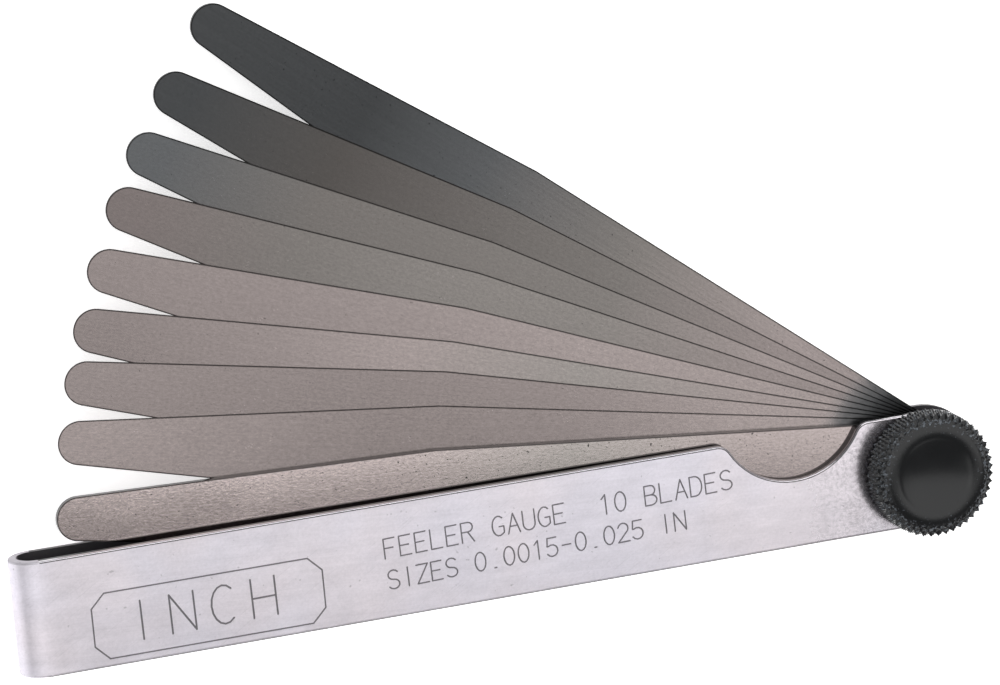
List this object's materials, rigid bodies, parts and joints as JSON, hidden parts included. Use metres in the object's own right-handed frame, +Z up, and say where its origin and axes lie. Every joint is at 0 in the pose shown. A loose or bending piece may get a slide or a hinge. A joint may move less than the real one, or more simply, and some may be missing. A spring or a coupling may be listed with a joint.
{
  "type": "feeler gauge",
  "caption": "Feeler gauge with tapered steel blades fanned from a folded sheet-steel case on one clamp screw, locked by a knurled black knob with a dished face.",
  "frame": {"origin": "on the pivot axis, at the flat outer face of the clamp screw's head, the gauge's lowest face", "axes": "+Z up, along the pivot axis and out of the knob's face; -X along the case to its folded end; +Y towards the edge the blades fan out of"},
  "size_m": [0.1085, 0.0679, 0.0093],
  "materials": {
    "case": "bright nickel plate, lightly rubbed",
    "clamp_screw": "bright steel",
    "blade_15_thou": "satin ground spring steel",
    "blade_12_thou": "satin ground spring steel",
    "blade_10_thou": "satin ground spring steel",
    "blade_8_thou": "satin ground spring steel",
    "blade_6_thou": "satin ground spring steel",
    "blade_4_thou": "satin ground spring steel",
    "blade_3_thou": "satin ground spring steel",
    "blade_2_thou": "satin ground spring steel",
    "blade_1_5_thou": "satin ground spring steel",
    "blade_25_thou": "satin ground spring steel",
    "knob_washer": "bright steel",
    "threaded_insert": "machined",
    "knurled_knob": "moulded black plastic, semi-gloss"
  },
  "bodies": {
    "case": {"case": "case", "clamp_screw": "clamp_screw"},
    "blade_15_thou": {"blade_15_thou": "blade_15_thou"},
    "blade_12_thou": {"blade_12_thou": "blade_12_thou"},
    "blade_10_thou": {"blade_10_thou": "blade_10_thou"},
    "blade_8_thou": {"blade_8_thou": "blade_8_thou"},
    "blade_6_thou": {"blade_6_thou": "blade_6_thou"},
    "blade_4_thou": {"blade_4_thou": "blade_4_thou"},
    "blade_3_thou": {"blade_3_thou": "blade_3_thou"},
    "blade_2_thou": {"blade_2_thou": "blade_2_thou"},
    "blade_1_5_thou": {"blade_1_5_thou": "blade_1_5_thou"},
    "blade_25_thou": {"blade_25_thou": "blade_25_thou"},
    "washer": {"knob_washer": "knob_washer"},
    "knob": {"knurled_knob": "knurled_knob", "threaded_insert": "threaded_insert"}
  },
  "joints": [
    {"name": "blade_15_thou_hinge", "type": "hinge", "parent": "case", "child": "blade_15_thou", "pos_m": [0, 0, 0.004], "axis": [0, 0, -1], "range_deg": [-38.7, 141.3]},
    {"name": "blade_12_thou_hinge", "type": "hinge", "parent": "case", "child": "blade_12_thou", "pos_m": [0, 0, 0.004], "axis": [0, 0, -1], "range_deg": [-33.8, 146.2]},
    {"name": "blade_10_thou_hinge", "type": "hinge", "parent": "case", "child": "blade_10_thou", "pos_m": [0, 0, 0.004], "axis": [0, 0, -1], "range_deg": [-29.6, 150.4]},
    {"name": "blade_8_thou_hinge", "type": "hinge", "parent": "case", "child": "blade_8_thou", "pos_m": [0, 0, 0.004], "axis": [0, 0, -1], "range_deg": [-25.9, 154.1]},
    {"name": "blade_6_thou_hinge", "type": "hinge", "parent": "case", "child": "blade_6_thou", "pos_m": [0, 0, 0.004], "axis": [0, 0, -1], "range_deg": [-21.8, 158.2]},
    {"name": "blade_4_thou_hinge", "type": "hinge", "parent": "case", "child": "blade_4_thou", "pos_m": [0, 0, 0.004], "axis": [0, 0, -1], "range_deg": [-17.9, 162.1]},
    {"name": "blade_3_thou_hinge", "type": "hinge", "parent": "case", "child": "blade_3_thou", "pos_m": [0, 0, 0.004], "axis": [0, 0, -1], "range_deg": [-14.5, 165.5]},
    {"name": "blade_2_thou_hinge", "type": "hinge", "parent": "case", "child": "blade_2_thou", "pos_m": [0, 0, 0.004], "axis": [0, 0, -1], "range_deg": [-10.65, 169.35]},
    {"name": "blade_1_5_thou_hinge", "type": "hinge", "parent": "case", "child": "blade_1_5_thou", "pos_m": [0, 0, 0.004], "axis": [0, 0, -1], "range_deg": [-5.8, 174.2]},
    {"name": "blade_25_thou_hinge", "type": "hinge", "parent": "case", "child": "blade_25_thou", "pos_m": [0, 0, 0.004], "axis": [0, 0, -1], "range_deg": [-5.8, 174.2]},
    {"name": "washer_turn", "type": "hinge", "parent": "case", "child": "washer", "pos_m": [0, 0, 0.00575], "axis": [0, 0, 1], "continuous": true},
    {"name": "knob_turn", "type": "hinge", "parent": "case", "child": "knob", "pos_m": [0, 0, 0.0075], "axis": [0, 0, 1], "range_deg": [0, 360]}
  ]
}
